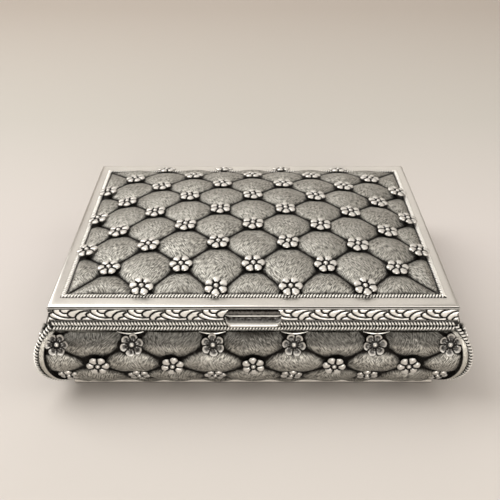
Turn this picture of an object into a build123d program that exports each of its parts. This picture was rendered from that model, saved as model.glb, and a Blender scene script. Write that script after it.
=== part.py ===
"""Quilted silver dry fruit box with a hinged lid.

Millimetres, +Z up, +X to the right, -Y towards the thumb piece.
The origin is on the floor under the middle of the box.
"""

import os
from math import asin, cos, radians, sin

from build123d import *

os.makedirs("parts", exist_ok=True)

# Outline of the lid and heights above the floor
lid_length = 193.8
lid_width = 158.8
lid_top_z = 52.0
parting_z = 40.8
parting_gap = 0.3
rim_z = 38.0
foot_z = 2.2

# Lid frame
plate_thickness = 1.5
skirt_thickness = 1.6
frame_edge_radius = 1.4
side_margin = 7.0
front_margin = 11.0
window_ledge = 6.0

# Quilting: cells across and along, pillow heights
long_cell_count = 5
deep_cell_count = 4
dome_height = 8.8
dome_power = 2.7
lid_crown = 3.0
wall_crown = 2.8
half_cell_fill = 0.7
lid_steps = 4
wall_steps = 3
shortest_side = 0.01
quilt_hollow_ledge = 24.0
quilt_hollow_depth = 3.2
quilt_hollow_taper = 60.0

# Bulging walls: how far out of the lid's outline the seams lie
rim_out = 1.2
belly_out = 5.0
belly_z = 24.7
foot_out = -8.9
sheet_thickness = 1.2
corner_strip = 2.6
corner_slot = 1.45
row_places = (0.0, 0.138, 0.41, 0.665, 1.0)
rim_seam_spread = 6.0
top_pillow_fill = 0.7

# Rosettes
petal_count = 6
rosette_radius = 5.5
notch_radius = 3.9
petal_tip_angle = 13.0
eye_radius = 2.0
petal_depth = 1.4
rosette_seat = 0.35
side_rosette_seat = 0.8
lid_petal_height = 2.15
edge_petal_height = 3.65
wall_petal_height = 2.55
edge_inset = 4.2
wall_edge_inset = 5.4
turn_step = 137.5

# Ropes and the leaf band
rope_width = 2.5
rope_height = 1.9
panel_rope_height = 1.0
corner_rope_radius = 1.25
corner_rope_first_row = 0.12
corner_rope_last_row = 3.75
corner_rope_run_count = 7
corner_rope_side_count = 6
band_thickness = 0.6
band_low_z = 43.6
band_high_z = 50.3

# Thumb piece
thumb_top_width = 27.0
thumb_low_width = 21.5
thumb_top_z = 46.4
thumb_low_z = 40.5
thumb_reach = 7.0
thumb_thickness = 1.1
scoop_place = 3.2
scoop_height = 2.4
thumb_corner_radius = 2.5
rope_clearance = 0.4

# Liner, lining and base plate: insets are from the lid's outline
liner_inset = 12.6
liner_thickness = 1.2
liner_corner_radius = 4.0
lip_height = 2.6
seat_clearance = 0.05
lining_thickness = 1.0
base_inset = 8.7
base_thickness = foot_z
base_corner_radius = 2.5
base_edge_chamfer = 0.5

# Hinges
hinge_spacing = 110.0
hinge_length = 22.0
hinge_axis_out = 1.9
barrel_radius = 2.3
pin_radius = 1.0
pin_clearance = 0.05
knuckle_gap = 0.3
knuckle_count = 3
leaf_thickness = 0.9
leaf_reach = 6.0
leaf_height = 6.0
leaf_clearance = 0.2
notch_clearance = 0.35

lid_half_length = lid_length / 2
lid_half_width = lid_width / 2
panel_length = lid_length - 2 * side_margin
panel_width = lid_width - 2 * front_margin
liner_length = lid_length - 2 * liner_inset
liner_width = lid_width - 2 * liner_inset
base_length = lid_length - 2 * base_inset
base_width = lid_width - 2 * base_inset
skirt_low_z = parting_z + parting_gap / 2
rim_top_z = parting_z - parting_gap / 2
plate_low_z = lid_top_z - plate_thickness
hinge_axis_y = lid_half_width + hinge_axis_out
hinge_places = (-hinge_spacing / 2, hinge_spacing / 2)
notch_length = hinge_length + 2 * notch_clearance
notch_reach = barrel_radius + notch_clearance


def facets(rows):
    """Flat triangles between the rows of a grid of points, leaving out empty ones."""
    triangles = []
    for low, high in zip(rows, rows[1:]):
        for a, b, c, d in zip(low, low[1:], high[1:], high):
            for corners in ((a, b, c), (a, c, d)):
                sides = zip(corners, corners[1:] + corners[:1])
                if all((end - start).length > shortest_side for start, end in sides):
                    triangles.append(Face(Wire.make_polygon(corners)))
    return triangles


def shares(steps):
    """Even shares from 0 to 1."""
    return [step / steps for step in range(steps + 1)]


def cell_facets(place, i, j, crown, steps):
    """Full pillow around lattice point i, j, between its four seams."""
    rows = []
    for p in [2 * share - 1 for share in shares(steps)]:
        row = []
        for q in [2 * share - 1 for share in shares(steps)]:
            lift = crown * (1 - p * p) * (1 - q * q)
            row.append(place(i + (p + q) / 2, j + (q - p) / 2, lift))
        rows.append(row)
    return facets(rows)


def between(start, end, share):
    """Lattice place part of the way from start to end."""
    return tuple(s + (e - s) * share for s, e in zip(start, end))


def triangle_facets(place, start, end, apex, crown, steps):
    """Half pillow over the triangle of two border places and an apex."""
    rows = []
    for up in shares(steps):
        left = between(start, apex, up)
        right = between(end, apex, up)
        lift = half_cell_fill * crown * 4 * up * (1 - up)
        rows.append(
            [
                place(*between(left, right, along), lift * 4 * along * (1 - along))
                for along in shares(steps)
            ]
        )
    return facets(rows)


def closed_solid(faces):
    """Solid bounded by the faces."""
    body = Solid(Shell(faces))
    return body if body.volume > 0 else -body


def flat_face(faces, in_plane, closing_lines=()):
    """Flat face bounded by the edges of other faces that lie in its plane."""
    borders = [edge for face in faces for edge in face.edges() if in_plane(edge)]
    return Face(Wire.combine(borders + list(closing_lines))[0])


def lies_level(height):
    """Test for edges that lie level at a height."""
    return lambda edge: all(abs((edge @ share).Z - height) < 1e-4 for share in (0, 0.5, 1))


# Lid

def lid_point(i, j, lift):
    """Point of the lid's quilt over lattice place i, j."""
    across = i / long_cell_count - 1
    along = j / deep_cell_count - 1
    dome = (1 - abs(across) ** dome_power) * (1 - abs(along) ** dome_power)
    return Vector(
        across * panel_length / 2,
        along * panel_width / 2,
        lid_top_z + dome_height * dome + lift,
    )


lid_columns = 2 * long_cell_count
lid_rows = 2 * deep_cell_count

quilt_faces = []
for i in range(1, lid_columns):
    for j in range(1, lid_rows):
        if (i + j) % 2:
            quilt_faces += cell_facets(lid_point, i, j, lid_crown, lid_steps)
for i in range(1, lid_columns, 2):
    for j, inward in ((0, 1), (lid_rows, -1)):
        quilt_faces += triangle_facets(
            lid_point, (i - 1, j), (i + 1, j), (i, j + inward), lid_crown, lid_steps
        )
for j in range(1, lid_rows, 2):
    for i, inward in ((0, 1), (lid_columns, -1)):
        quilt_faces += triangle_facets(
            lid_point, (i, j - 1), (i, j + 1), (i + inward, j), lid_crown, lid_steps
        )
quilt_faces.append(flat_face(quilt_faces, lies_level(lid_top_z)))

with BuildPart() as lid_quilt_panel:
    add(closed_solid(quilt_faces))
    with BuildSketch(Plane.XY.offset(lid_top_z)):
        Rectangle(panel_length - 2 * quilt_hollow_ledge, panel_width - 2 * quilt_hollow_ledge)
    extrude(amount=quilt_hollow_depth, taper=quilt_hollow_taper, mode=Mode.SUBTRACT)
lid_quilt_panel.part.label = "lid_quilt_panel"

with BuildPart() as lid_frame:
    with BuildSketch(Plane.XY.offset(skirt_low_z)):
        Rectangle(lid_length, lid_width)
    extrude(amount=lid_top_z - skirt_low_z)
    fillet(lid_frame.faces().sort_by(Axis.Z)[-1].edges(), frame_edge_radius)
    with BuildSketch(Plane.XY.offset(skirt_low_z)):
        Rectangle(lid_length - 2 * skirt_thickness, lid_width - 2 * skirt_thickness)
    extrude(amount=plate_low_z - skirt_low_z, mode=Mode.SUBTRACT)
    with BuildSketch(Plane.XY.offset(plate_low_z)):
        Rectangle(panel_length - 2 * window_ledge, panel_width - 2 * window_ledge)
    extrude(amount=plate_thickness, mode=Mode.SUBTRACT)
    with Locations(*[(x, hinge_axis_y, parting_z) for x in hinge_places]):
        Box(notch_length, 2 * (hinge_axis_out + skirt_thickness), 2 * notch_reach, mode=Mode.SUBTRACT)
lid_frame.part.label = "lid_frame"

with BuildPart() as lid_lining:
    with BuildSketch(Plane.XY.offset(plate_low_z - lining_thickness)):
        lining_fit = 2 * (skirt_thickness + seat_clearance)
        Rectangle(lid_length - lining_fit, lid_width - lining_fit)
    extrude(amount=lining_thickness)
lid_lining.part.label = "lid_lining"

with BuildPart() as lid_leaf_band:
    with BuildSketch(Plane.XY.offset(band_low_z)):
        Rectangle(lid_length + 2 * band_thickness, lid_width + 2 * band_thickness)
        Rectangle(lid_length, lid_width, mode=Mode.SUBTRACT)
    extrude(amount=band_high_z - band_low_z)
lid_leaf_band.part.label = "lid_leaf_band"


def rope_frame(length, width, base_z, upright):
    """Half round rope around a rectangle, flat on a plate or flat on a wall."""
    with BuildPart() as rope:
        with BuildLine() as path:
            Polyline(
                (0, -width / 2, base_z),
                (length / 2, -width / 2, base_z),
                (length / 2, width / 2, base_z),
                (-length / 2, width / 2, base_z),
                (-length / 2, -width / 2, base_z),
                close=True,
            )
        section_plane = Plane(origin=(0, -width / 2, base_z), x_dir=(0, -1, 0), z_dir=(1, 0, 0))
        with BuildSketch(section_plane):
            with BuildLine():
                if upright:
                    Line((0, rope_width / 2), (0, -rope_width / 2))
                    ThreePointArc((0, -rope_width / 2), (rope_height, 0), (0, rope_width / 2))
                else:
                    Line((0, 0), (rope_width, 0))
                    ThreePointArc((rope_width, 0), (rope_width / 2, -panel_rope_height), (0, 0))
            make_face()
        sweep(path=path.line, transition=Transition.RIGHT)
    return rope.part


with BuildPart() as lid_panel_rope:
    add(rope_frame(panel_length + 2 * seat_clearance, panel_width + 2 * seat_clearance, lid_top_z, False))
lid_panel_rope.part.label = "lid_panel_rope"


def edge_rope(centre_z):
    """Rope on the outline of the box, broken at the hinges."""
    with BuildPart() as rope:
        add(rope_frame(lid_length, lid_width, centre_z, True))
        with Locations(*[(x, hinge_axis_y, parting_z) for x in hinge_places]):
            Box(notch_length, 4 * rope_height, 4 * rope_width, mode=Mode.SUBTRACT)
    return rope.part


with BuildPart() as lid_edge_rope:
    add(edge_rope(skirt_low_z + rope_width / 2))
lid_edge_rope.part.label = "lid_edge_rope"

thumb_root_y = -(lid_half_width + band_thickness)
thumb_back_y = -(lid_half_width + rope_height + rope_clearance)
thumb_tip_y = thumb_root_y - thumb_reach
with BuildPart() as thumb_piece:
    with BuildSketch(Plane.YZ):
        with BuildLine():
            root_top = (thumb_root_y, thumb_top_z)
            scoop = (thumb_root_y - scoop_place, thumb_low_z + scoop_height)
            lip_top = (thumb_tip_y, thumb_low_z + thumb_thickness)
            lip_low = (thumb_tip_y + thumb_thickness / 2, thumb_low_z)
            heel = (thumb_back_y - thumb_thickness, thumb_low_z)
            throat = (thumb_back_y, skirt_low_z + rope_width - rope_clearance)
            root_low = (thumb_root_y, band_low_z + rope_clearance)
            ThreePointArc(root_top, scoop, lip_top)
            Polyline(lip_top, lip_low, heel, throat, root_low, root_top)
        make_face()
    extrude(amount=thumb_top_width / 2, both=True)
    with BuildSketch(Plane.XY.offset(thumb_low_z)):
        with BuildLine():
            Polyline(
                (-thumb_top_width / 2, -lid_half_width),
                (-thumb_low_width / 2, thumb_tip_y),
                (thumb_low_width / 2, thumb_tip_y),
                (thumb_top_width / 2, -lid_half_width),
                close=True,
            )
        thumb_plan = make_face()
        fillet(thumb_plan.vertices().group_by(Axis.Y)[0], thumb_corner_radius)
    extrude(amount=thumb_top_z - thumb_low_z, mode=Mode.INTERSECT)
thumb_piece.part.label = "thumb_piece"

# Bulging walls

with BuildLine() as wall_profile:
    wall_arc = ThreePointArc((rim_out, rim_z), (belly_out, belly_z), (foot_out, foot_z))
arc_out = wall_arc.arc_center.X
arc_z = wall_arc.arc_center.Y
outer_radius = wall_arc.radius
inner_radius = outer_radius - sheet_thickness
last_row = len(row_places) - 1
rim_row, top_row, belly_row, low_row, foot_row = range(last_row + 1)


def arc_angle(j, radius):
    """Angle above level, in radians, of lattice row j on an arc of the wall."""
    low = min(int(j), last_row - 1)
    share = row_places[low] + (row_places[low + 1] - row_places[low]) * (j - low)
    rim_angle = asin((rim_z - arc_z) / radius)
    foot_angle = asin((foot_z - arc_z) / radius)
    return rim_angle + share * (foot_angle - rim_angle)


def seam_point(j, radius):
    """Distance out and height of row j on an arc of the wall."""
    angle = arc_angle(j, radius)
    return arc_out + radius * cos(angle), arc_z + radius * sin(angle)


def quilt_point(cells, run, reach, i, j, lift):
    """Point of a wall's quilt over lattice place i, j, for the front wall."""
    out, z = seam_point(j, outer_radius)
    lean = arc_angle(max(j, 1), outer_radius) * min(j, 1)
    x = (i / cells - 1) * (run + out - corner_slot - corner_strip)
    return Vector(x, -(reach + out + lift * cos(lean)), z + lift * sin(lean))


def plain_point(run, reach, j, radius, side, inset):
    """Point of the plain sheet at a distance inside the corner slot."""
    out, z = seam_point(j, radius)
    return Vector(side * (run + out - corner_slot - inset), -(reach + out), z)


def half_top_facets(place, seam, seam_rim, low, rim):
    """Half of a pillow that the rim cuts, from its seam to its middle line."""
    rows = []
    for across in shares(wall_steps):
        bottom = between(seam, low, across)
        top = between(seam_rim, rim, across)
        ridge = wall_crown * across * (2 - across)
        row = []
        for up in shares(wall_steps):
            swell = up * (2 - up) * (1 - (1 - top_pillow_fill) * up**4)
            row.append(place(*between(bottom, top, up), ridge * swell))
        rows.append(row)
    return facets(rows)


def quilted_faces(cells, run, reach):
    """Pillows of a front wall."""

    def place(i, j, lift):
        return quilt_point(cells, run, reach, i, j, lift)

    def half_pillow(start, end, apex, crown):
        return triangle_facets(place, start, end, apex, crown, wall_steps)

    columns = 2 * cells
    rim_half = run + rim_out - corner_slot - corner_strip
    spread = rim_seam_spread * cells / rim_half
    faces = []
    for i in range(2, columns, 2):
        faces += cell_facets(place, i, belly_row, wall_crown, wall_steps)
        faces += half_pillow((i - spread, rim_row), (i + spread, rim_row), (i, top_row), 0)
        faces += half_pillow((i - 1, foot_row), (i + 1, foot_row), (i, low_row), wall_crown)
    for i in range(1, columns, 2):
        faces += cell_facets(place, i, low_row, wall_crown, wall_steps)
        for side in (-1, 1):
            seam = (i + side, top_row)
            seam_rim = (i + side - side * spread, rim_row)
            faces += half_top_facets(place, seam, seam_rim, (i, belly_row), (i, rim_row))
    for i, inward in ((0, 1), (columns, -1)):
        faces += half_pillow((i, top_row), (i, low_row), (i + inward, belly_row), wall_crown)
        faces += half_pillow((i, rim_row), (i + inward * spread, rim_row), (i, top_row), 0)
        faces += half_pillow((i, foot_row), (i + inward, foot_row), (i, low_row), 0)
    return faces


def plain_faces(run, reach):
    """Margins beside the corners and the inner face of a front wall."""
    faces = []
    for start, end in ((rim_row, top_row), (top_row, low_row), (low_row, foot_row)):
        rows = [start + (end - start) * share for share in shares(wall_steps)]
        for side in (-1, 1):
            faces += facets(
                [
                    [plain_point(run, reach, j, outer_radius, side, inset) for inset in (0, corner_strip)]
                    for j in rows
                ]
            )
        faces += facets(
            [[plain_point(run, reach, j, inner_radius, side, 0) for side in (-1, 1)] for j in rows]
        )
    return faces


def lies_beside_slot(run, reach, side):
    """Test for edges in the plane beside a corner slot."""
    level = run - reach - corner_slot
    return lambda edge: all(
        abs(side * (edge @ share).X + (edge @ share).Y - level) < 1e-4 for share in (0, 0.5, 1)
    )


def wall_solid(cells, run, reach):
    """Quilted sheet of the front wall, mitred at both ends."""
    sheet = quilted_faces(cells, run, reach) + plain_faces(run, reach)
    lines = {}
    for side in (-1, 1):
        for row in (rim_row, foot_row):
            outer = plain_point(run, reach, row, outer_radius, side, 0)
            inner = plain_point(run, reach, row, inner_radius, side, 0)
            lines[side, row] = Edge.make_line(outer, inner)
    closing = []
    for row, height in ((rim_row, rim_z), (foot_row, foot_z)):
        caps = [lines[-1, row], lines[1, row]]
        closing.append(flat_face(sheet, lies_level(height), caps))
    for side in (-1, 1):
        caps = [lines[side, rim_row], lines[side, foot_row]]
        closing.append(flat_face(sheet, lies_beside_slot(run, reach, side), caps))
    return closed_solid(sheet + closing)


# Each wall is made as a front wall and turned into place
walls = {
    "front": (long_cell_count, lid_half_length, lid_half_width, 0),
    "right": (deep_cell_count, lid_half_width, lid_half_length, 90),
    "back": (long_cell_count, lid_half_length, lid_half_width, 180),
    "left": (deep_cell_count, lid_half_width, lid_half_length, 270),
}

for side_name, (cells, run, reach, turn) in walls.items():
    with BuildPart() as quilt_wall:
        add(wall_solid(cells, run, reach), rotation=(0, 0, turn))
    quilt_wall.part.label = f"{side_name}_quilt_panel"
    export_step(quilt_wall.part, f"parts/{side_name}_quilt_panel.step")


# Rosettes

def ring(angles, radius, height):
    """Points at a radius and a height, one for each angle."""
    return [Vector(radius * cos(radians(a)), radius * sin(radians(a)), height) for a in angles]


def rosette(seat, rim_height):
    """Six blunt petals that fall away from a raised middle, over a pointed cup."""
    top_height = rim_height + petal_depth
    petal_turn = 360 / petal_count
    tip = Vector(0, 0, seat)
    faces = []
    eye = []
    for petal in range(petal_count):
        middle = petal_turn * petal
        tips = (middle - petal_tip_angle, middle + petal_tip_angle)
        outline = (
            ring([middle - petal_turn / 2], notch_radius, rim_height)
            + ring(tips, rosette_radius, rim_height)
            + ring([middle + petal_turn / 2], notch_radius, rim_height)
        )
        inner, following = ring([middle, middle + petal_turn], eye_radius, top_height)
        eye.append(inner)
        for start, end in zip(outline, outline[1:]):
            faces.append(Face(Wire.make_polygon([tip, end, start])))
            faces.append(Face(Wire.make_polygon([start, end, inner])))
        faces.append(Face(Wire.make_polygon([outline[-1], following, inner])))
    faces.append(Face(Wire.make_polygon(eye)))
    return closed_solid(faces)


def rosette_group(places, seat, rim_height):
    """Separate rosettes standing on planes, each turned its own way."""
    flower = rosette(seat, rim_height)
    group = []
    for count, place in enumerate(places):
        group.append(place.location * Rot(0, 0, turn_step * count) * flower)
    return group


def lid_rosette_plane(i, j):
    """Seat of a lid rosette, moved in from the border and tilted with the dome."""
    x_limit = panel_length / 2 - edge_inset
    y_limit = panel_width / 2 - edge_inset
    place = lid_point(i, j, 0)
    x = max(-x_limit, min(x_limit, place.X))
    y = max(-y_limit, min(y_limit, place.Y))
    across = x / (panel_length / 2)
    along = y / (panel_width / 2)
    step = 0.01
    here = lid_point((across + 1) * long_cell_count, (along + 1) * deep_cell_count, 0)
    ahead = lid_point((across + step + 1) * long_cell_count, (along + 1) * deep_cell_count, 0)
    beyond = lid_point((across + 1) * long_cell_count, (along + step + 1) * deep_cell_count, 0)
    normal = (ahead - here).cross(beyond - here)
    return Plane(origin=here, z_dir=normal)


inner_places = []
side_places = []
end_places = []
for i in range(lid_columns + 1):
    for j in range(lid_rows + 1):
        at_side = i in (0, lid_columns)
        at_end = j in (0, lid_rows)
        if (i + j) % 2 == 0 and not (at_side and at_end):
            places = side_places if at_side else end_places if at_end else inner_places
            places.append(lid_rosette_plane(i, j))

with BuildPart() as lid_rosettes:
    add(rosette_group(inner_places, rosette_seat, lid_petal_height))
    add(rosette_group(side_places, side_rosette_seat, edge_petal_height))
    add(rosette_group(end_places, rosette_seat, edge_petal_height))
lid_rosettes.part.label = "lid_rosettes"

for side_name, (cells, run, reach, turn) in walls.items():
    places = []
    for row in (top_row, belly_row, low_row):
        for i in range((row + 1) % 2, 2 * cells + 1, 2):
            seat = quilt_point(cells, run, reach, i, row, 0)
            out, z = seam_point(row, outer_radius)
            limit = run + out - corner_slot - wall_edge_inset
            angle = arc_angle(row, outer_radius)
            places.append(
                Plane(
                    origin=(max(-limit, min(limit, seat.X)), seat.Y, seat.Z),
                    x_dir=(1, 0, 0),
                    z_dir=(0, -cos(angle), sin(angle)),
                )
            )
    with BuildPart() as wall_rosettes:
        flowers = rosette_group(places, rosette_seat, wall_petal_height)
        add([Rot(0, 0, turn) * flower for flower in flowers])
    wall_rosettes.part.label = f"{side_name}_rosettes"
    export_step(wall_rosettes.part, f"parts/{side_name}_rosettes.step")

# Rim, ropes and corners of the body

with BuildPart() as body_rim:
    with BuildSketch(Plane.XY.offset(rim_z + seat_clearance)):
        Rectangle(lid_length, lid_width)
        RectangleRounded(
            liner_length + 2 * seat_clearance,
            liner_width + 2 * seat_clearance,
            liner_corner_radius + seat_clearance,
            mode=Mode.SUBTRACT,
        )
    extrude(amount=rim_top_z - rim_z - seat_clearance)
    with Locations(*[(x, hinge_axis_y, parting_z) for x in hinge_places]):
        Box(notch_length, 2 * (hinge_axis_out + skirt_thickness), 2 * notch_reach, mode=Mode.SUBTRACT)
    with Locations(*[(x, lid_half_width - skirt_thickness, rim_top_z) for x in hinge_places]):
        Box(
            notch_length,
            2 * (leaf_reach + notch_clearance),
            2 * (leaf_thickness + notch_clearance),
            mode=Mode.SUBTRACT,
        )
body_rim.part.label = "body_rim"

with BuildPart() as body_rim_rope:
    add(edge_rope(rim_top_z - rope_width / 2))
body_rim_rope.part.label = "body_rim_rope"

for front_back, y_side in (("front", -1), ("back", 1)):
    for left_right, x_side in (("left", -1), ("right", 1)):
        mitre_points = []
        for share in shares(corner_rope_run_count):
            row = corner_rope_first_row + (corner_rope_last_row - corner_rope_first_row) * share
            out, z = seam_point(row, outer_radius)
            mitre_points.append(
                (x_side * (lid_half_length + out), y_side * (lid_half_width + out), z)
            )
        with BuildPart() as corner_rope:
            with BuildLine() as spine:
                Polyline(*mitre_points)
            with BuildSketch(Plane(origin=spine.line @ 0, z_dir=spine.line % 0)):
                RegularPolygon(corner_rope_radius, corner_rope_side_count)
            sweep(path=spine.line, transition=Transition.RIGHT)
        corner_rope.part.label = f"{front_back}_{left_right}_corner_rope"
        export_step(corner_rope.part, f"parts/{front_back}_{left_right}_corner_rope.step")

# Liner and base plate

with BuildPart() as body_liner:
    with BuildSketch(Plane.XY.offset(foot_z + seat_clearance)):
        RectangleRounded(liner_length, liner_width, liner_corner_radius)
    extrude(amount=rim_top_z + lip_height - foot_z - seat_clearance)
    offset(
        amount=-liner_thickness,
        openings=body_liner.faces().sort_by(Axis.Z)[-1],
        kind=Kind.INTERSECTION,
    )
body_liner.part.label = "body_liner"

with BuildPart() as base_plate:
    with BuildSketch():
        RectangleRounded(base_length, base_width, base_corner_radius)
    extrude(amount=base_thickness)
    chamfer(base_plate.faces().sort_by(Axis.Z)[0].edges(), base_edge_chamfer)
base_plate.part.label = "base_plate"

# Hinges

knuckle_length = (hinge_length - (knuckle_count - 1) * knuckle_gap) / knuckle_count
knuckle_pitch = knuckle_length + knuckle_gap


def hinge_leaf(centre_x, knuckles, upward):
    """Leaf with its knuckles: upward 1 for the lid's leaf, -1 for the body's."""
    leaf_face = lid_half_width - skirt_thickness - seat_clearance
    web_length = hinge_axis_y - leaf_face
    web_z = parting_z + upward * (leaf_clearance + leaf_thickness / 2)
    with BuildPart() as leaf:
        with Locations(*[(centre_x + k * knuckle_pitch, hinge_axis_y, parting_z) for k in knuckles]):
            Cylinder(barrel_radius, knuckle_length, rotation=(0, 90, 0))
            with Locations((0, -web_length / 2, web_z - parting_z)):
                Box(knuckle_length, web_length, leaf_thickness)
        with Locations((centre_x, leaf_face - leaf_reach / 2, web_z)):
            Box(hinge_length, leaf_reach, leaf_thickness)
        with Locations((centre_x, hinge_axis_y, parting_z)):
            Cylinder(pin_radius + pin_clearance, hinge_length, rotation=(0, 90, 0), mode=Mode.SUBTRACT)
        if upward > 0:
            with Locations((centre_x, leaf_face - leaf_thickness / 2, web_z + leaf_height / 2)):
                Box(hinge_length, leaf_thickness, leaf_height)
    return leaf.part


for side_name, centre_x in zip(("left", "right"), hinge_places):
    with BuildPart() as body_leaf:
        add(hinge_leaf(centre_x, (-1, 1), -1))
    body_leaf.part.label = f"{side_name}_hinge_body_leaf"
    export_step(body_leaf.part, f"parts/{side_name}_hinge_body_leaf.step")
    with BuildPart() as lid_leaf:
        add(hinge_leaf(centre_x, (0,), 1))
    lid_leaf.part.label = f"{side_name}_hinge_lid_leaf"
    export_step(lid_leaf.part, f"parts/{side_name}_hinge_lid_leaf.step")
    with BuildPart() as pin:
        with Locations((centre_x, hinge_axis_y, parting_z)):
            Cylinder(pin_radius, hinge_length, rotation=(0, 90, 0))
    pin.part.label = f"{side_name}_hinge_pin"
    export_step(pin.part, f"parts/{side_name}_hinge_pin.step")

for piece in (
    lid_frame,
    lid_quilt_panel,
    lid_rosettes,
    lid_panel_rope,
    lid_leaf_band,
    lid_edge_rope,
    lid_lining,
    thumb_piece,
    body_rim,
    body_rim_rope,
    body_liner,
    base_plate,
):
    export_step(piece.part, f"parts/{piece.part.label}.step")
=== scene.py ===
"""Looks of a quilted silver dry fruit box with a hinged lid, built over its CAD model.

Metres, +Z up, +X to the right, -Y towards the thumb piece, as in the CAD model.
"""

from math import asin, cos, hypot, pi, radians, sin

import bpy
import numpy as np
from mathutils import Matrix, Vector


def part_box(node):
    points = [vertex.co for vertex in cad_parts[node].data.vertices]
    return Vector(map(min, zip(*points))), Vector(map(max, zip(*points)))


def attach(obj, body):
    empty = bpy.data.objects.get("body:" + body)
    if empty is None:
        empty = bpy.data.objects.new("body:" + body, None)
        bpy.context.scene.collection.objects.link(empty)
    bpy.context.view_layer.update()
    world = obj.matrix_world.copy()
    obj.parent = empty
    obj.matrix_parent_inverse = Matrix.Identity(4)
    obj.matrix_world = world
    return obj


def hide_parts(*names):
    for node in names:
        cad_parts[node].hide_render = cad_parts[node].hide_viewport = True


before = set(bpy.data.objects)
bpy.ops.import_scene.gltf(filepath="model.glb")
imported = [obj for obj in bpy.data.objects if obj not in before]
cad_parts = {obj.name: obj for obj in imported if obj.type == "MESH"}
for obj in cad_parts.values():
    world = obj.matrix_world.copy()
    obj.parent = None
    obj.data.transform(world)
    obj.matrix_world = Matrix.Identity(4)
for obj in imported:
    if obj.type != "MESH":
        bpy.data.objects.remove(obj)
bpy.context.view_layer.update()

mm = 0.001

# Sizes shared with the CAD model
lid_half_length, lid_half_width, lid_top_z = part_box("lid_frame")[1]
panel_half_length = lid_half_length - 7 * mm
panel_half_width = lid_half_width - 11 * mm
dome_height = 8.8 * mm
dome_power = 2.7
rim_z = 38 * mm
belly_out = 5 * mm
foot_z = 2.2 * mm
arc_out = -20.1 * mm
arc_z = 24.7 * mm
arc_radius = belly_out - arc_out
sheet_thickness = 1.2 * mm
corner_slot = 1.45 * mm
corner_strip = 2.6 * mm
row_places = (0.0, 0.138, 0.41, 0.665, 1.0)
rim_seam_spread = 6 * mm
hinge_x = 55 * mm
hinge_half_notch = 11.35 * mm
band_low_z = 43.6 * mm
band_high_z = 50.3 * mm
parting_z = 40.8 * mm
parting_gap = 0.3 * mm
rope_width = 2.5 * mm
rope_height = 1.9 * mm
panel_rope_height = 1.0 * mm
corner_rope_radius = 1.25 * mm

# Quilting: a reach is how far a pillow rises from a seam, a half is half the width of a dark line
lid_cells = (5, 4)
lid_crown = 3.0 * mm
wall_crown = 2.8 * mm
pillow_reach = 13 * mm
wall_pillow_reach = 10.5 * mm
border_reach = 5 * mm
rim_reach = 3.5 * mm
pillow_power = 2.2
grid_step = 0.6 * mm
front_row_extra = 2 * mm
strip_raise = 2.3 * mm
rosette_radius = 5.5 * mm
dip_inner = 3.6 * mm
dip_outer = 9 * mm
dip_depth = 0.6
lid_seam_half = 1.15 * mm
lid_border_half = 0.9 * mm
wall_seam_half = 1.4 * mm
wall_end_half = 0.8 * mm
# painted shade: the seams widen and darken near the rosettes, with a painted shadow round each rosette
knot_shade_widening = 1.7 * mm
knot_spread = 2.6 * mm
knot_shadow = 0.8 * mm
# painted shade on the pillows beside the seams
hollow_shade = 0.34
hollow_reach = 2.8 * mm
rim_tuck = 0.8 * mm
# painted shade on the top of each wall under the rim, fading out down the wall
rim_shade = 0.58
rim_shade_fade = (5.5 * mm, 8.5 * mm)
strip_line = 0.7 * mm
strip_tarnish = 0.1
strip_blend = 0.35

# Colours and finishes
polished_gain = 1.9
# near black of tarnish in the seams and of painted shade, mixed in by one attribute of the points
shade_and_tarnish_colour = (0.010, 0.009, 0.008, 1)


# Meshes

def link_object(name, data):
    """New object in the scene."""
    made = bpy.data.objects.new(name, data)
    bpy.context.scene.collection.objects.link(made)
    return made


def mesh_object(name, points, faces, smooth_angle=45):
    """Object of a closed mesh, its faces turned outward."""
    mesh = bpy.data.meshes.new(name)
    mesh.from_pydata(np.asarray(points, dtype=float).reshape(-1, 3).tolist(), [], faces)
    mesh.validate()
    mesh.calc_loop_triangles()
    corners = np.empty(len(mesh.loop_triangles) * 3, dtype=int)
    mesh.loop_triangles.foreach_get("vertices", corners)
    places = np.empty(len(mesh.vertices) * 3)
    mesh.vertices.foreach_get("co", places)
    a, b, c = places.reshape(-1, 3)[corners.reshape(-1, 3)].transpose(1, 0, 2)
    if np.einsum("ij,ij->i", a, np.cross(b, c)).sum() < 0:
        mesh.flip_normals()
    mesh.polygons.foreach_set("use_smooth", [True] * len(mesh.polygons))
    mesh.set_sharp_from_angle(angle=radians(smooth_angle))
    return link_object(name, mesh)


def joined(shapes):
    """Points and faces of several shapes as one."""
    points = []
    faces = []
    for shape_points, shape_faces in shapes:
        shape_points = np.asarray(shape_points, dtype=float).reshape(-1, 3)
        faces += [[corner + len(points) for corner in face] for face in shape_faces]
        points += shape_points.tolist()
    return points, faces


def grid_faces(rows, columns):
    """Quads between neighbouring points of a grid held row by row."""
    corner = np.arange(rows * columns).reshape(rows, columns)
    quads = np.stack([corner[:-1, :-1], corner[:-1, 1:], corner[1:, 1:], corner[1:, :-1]], axis=-1)
    return quads.reshape(-1, 4).tolist()


def grid_edge(rows, columns):
    """Corners round the outside of a grid held row by row."""
    return np.concatenate(
        [
            np.arange(columns),
            np.arange(1, rows) * columns + columns - 1,
            (rows - 1) * columns + np.arange(columns - 2, -1, -1),
            np.arange(rows - 2, 0, -1) * columns,
        ]
    )


def round_ring(centre, across, raised, sides):
    """Ring of points round a centre, between two half axes."""
    turns = [2 * pi * side / sides for side in range(sides)]
    return [centre + across * cos(turn) + raised * sin(turn) for turn in turns]


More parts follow.
